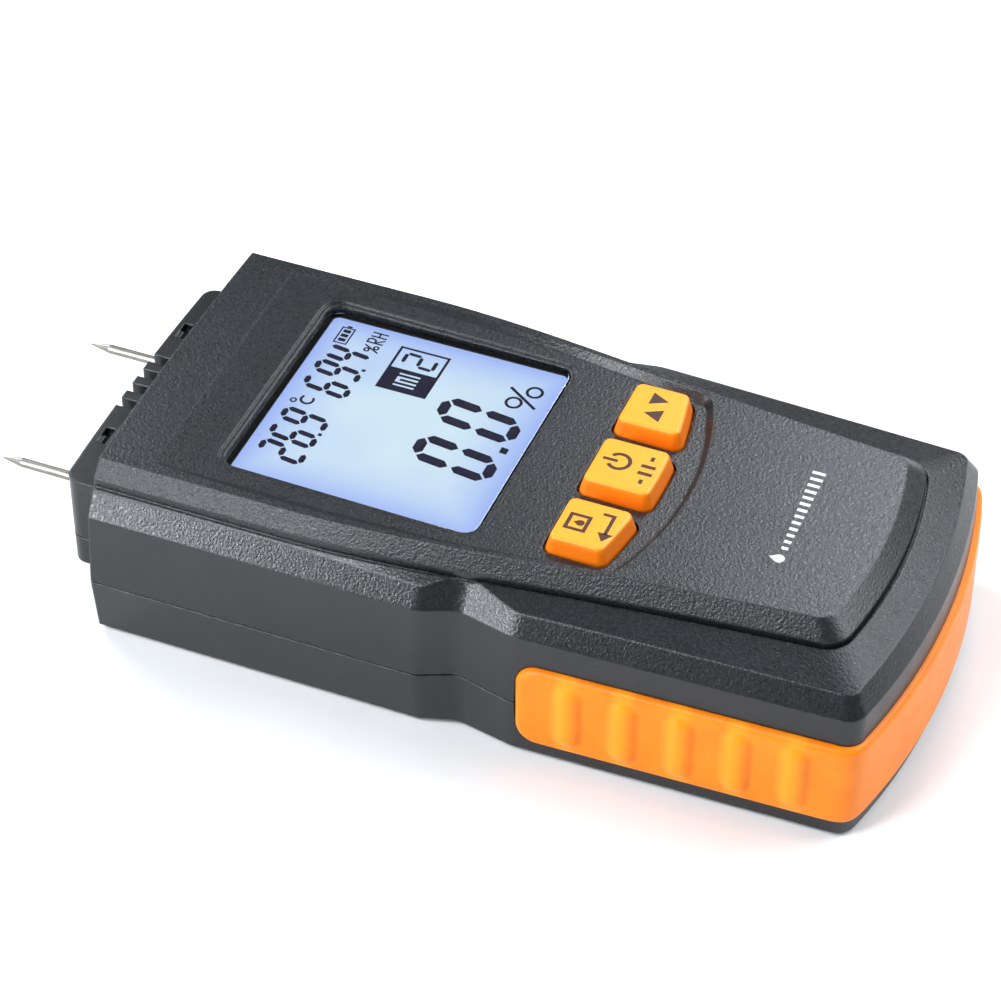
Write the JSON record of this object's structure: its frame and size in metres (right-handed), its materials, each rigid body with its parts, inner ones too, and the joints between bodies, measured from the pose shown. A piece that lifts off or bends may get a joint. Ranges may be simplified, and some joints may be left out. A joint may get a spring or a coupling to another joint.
{
  "type": "moisture meter",
  "caption": "Handheld pin-type moisture meter with a square display, a row of keys, a ribbed side grip and needle electrodes at its head.",
  "frame": {"origin": "centre of the meter's box at its flat back face", "axes": "+Z out of the display, the meter lying on its back; +Y towards the electrode pins; +X to the right of someone reading the display with the pins pointing away"},
  "size_m": [0.0668, 0.147, 0.0312],
  "materials": {
    "shell_plastic": "fine spark-eroded texture",
    "grip_rubber": "satin",
    "key_plastic": "satin",
    "clear_plastic": "clear polished",
    "foam": "matt",
    "lcd_glass": "polished",
    "diffuser": "frosted",
    "inner_plastic": "moulded",
    "zebra_rubber": "matt",
    "circuit_board": "solder mask",
    "chip": "moulded",
    "capacitor_can": "sleeved",
    "bright_metal": "drawn can",
    "steel": "ground and polished",
    "brass": "turned",
    "nickel": "nickel plated",
    "sensor_white": "moulded",
    "wire_jacket": "insulation",
    "cell_jacket": "sleeve with metal ends",
    "screw_steel": "black oxide",
    "plate": "blank rating plate"
  },
  "bodies": {
    "housing": {"front_shell": "shell_plastic", "rear_shell": "shell_plastic", "grip_band": "grip_rubber", "display_window": "clear_plastic", "window_gasket": "foam", "lcd_panel": "lcd_glass", "lcd_backlight": "diffuser", "lcd_frame": "inner_plastic", "contact_strips": "zebra_rubber", "main_board": "circuit_board", "control_chip": "chip", "capacitors": "capacitor_can", "crystal": "bright_metal", "chip_resistors": "chip", "tact_switches": "inner_plastic", "electrode_pin_left": "steel", "electrode_pin_right": "steel", "pin_sockets": "brass", "pin_carrier": "inner_plastic", "sensor_board": "circuit_board", "humidity_sensor": "sensor_white", "electrode_leads": "wire_jacket", "sensor_leads": "wire_jacket", "battery_leads": "wire_jacket", "battery_cells": "cell_jacket", "battery_springs": "nickel", "battery_contacts": "nickel", "case_screws": "screw_steel", "board_screws": "nickel", "rating_plate": "plate"},
    "set_key": {"set_button": "key_plastic", "set_plunger": "inner_plastic"},
    "power_key": {"power_button": "key_plastic", "power_plunger": "inner_plastic"},
    "enter_key": {"enter_button": "key_plastic", "enter_plunger": "inner_plastic"},
    "cover": {"battery_cover": "shell_plastic"}
  },
  "joints": [
    {"name": "set_press", "type": "slide", "parent": "housing", "child": "set_key", "axis": [0, 0, -1], "range_m": [0, 0.0007], "stiffness_N_per_m": 2500},
    {"name": "power_press", "type": "slide", "parent": "housing", "child": "power_key", "axis": [0, 0, -1], "range_m": [0, 0.0007], "stiffness_N_per_m": 2500},
    {"name": "enter_press", "type": "slide", "parent": "housing", "child": "enter_key", "axis": [0, 0, -1], "range_m": [0, 0.0007], "stiffness_N_per_m": 2500},
    {"name": "battery_cover_swing", "type": "hinge", "parent": "housing", "child": "cover", "pos_m": [0, -0.0615, 0.0001], "axis": [-1, 0, 0], "range_deg": [0, 75]}
  ]
}
